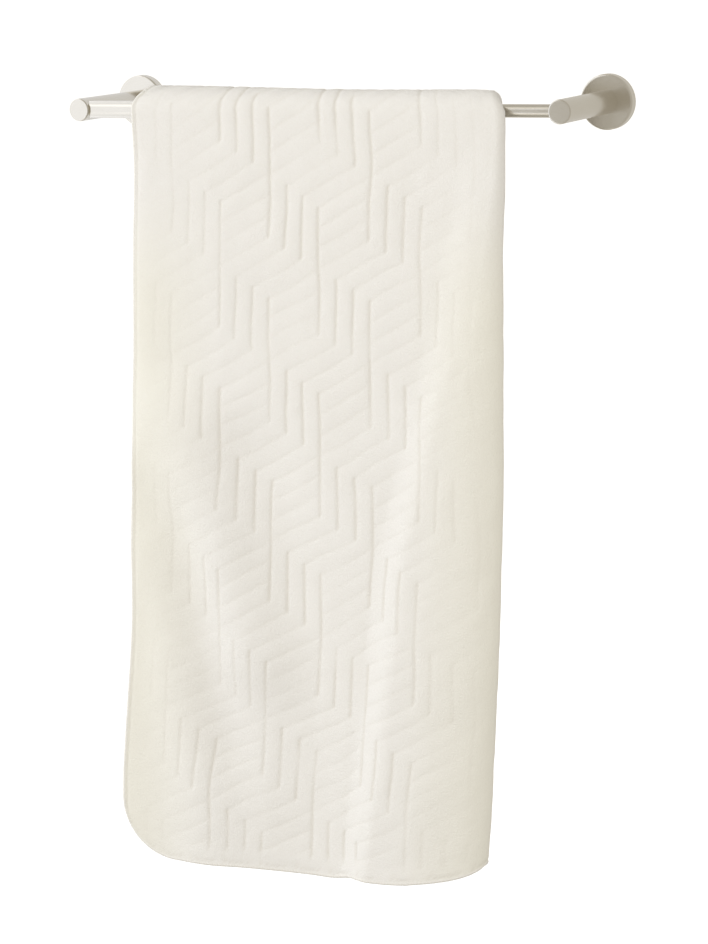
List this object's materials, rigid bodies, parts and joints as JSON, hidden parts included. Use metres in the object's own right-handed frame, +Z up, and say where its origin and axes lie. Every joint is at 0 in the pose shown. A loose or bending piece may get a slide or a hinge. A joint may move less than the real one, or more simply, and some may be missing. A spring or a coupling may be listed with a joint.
{
  "type": "bath towel hung on a wall towel bar",
  "caption": "Plush terry bath towel with stepped raised ribs and a sewn edge binding, folded lengthwise and draped over a round wall bar on posts.",
  "frame": {"origin": "on the wall plane, midway between the centres of the wall plates' backs, at the height of the bar's axis", "axes": "+X along the bar towards the side where the towel's fold hangs, +Y into the wall, +Z up"},
  "size_m": [0.504, 0.155, 0.7046],
  "materials": {
    "terry": "plush cotton pile",
    "binding": "smooth woven cotton",
    "brushed_nickel": "satin brushed nickel"
  },
  "bodies": {
    "root": {"bath_towel": "terry", "edge_binding": "binding", "rosette_left": "brushed_nickel", "rosette_right": "brushed_nickel", "post_left": "brushed_nickel", "post_right": "brushed_nickel", "bar_tube_wide": "brushed_nickel", "bar_tube_slim": "brushed_nickel"}
  },
  "joints": []
}
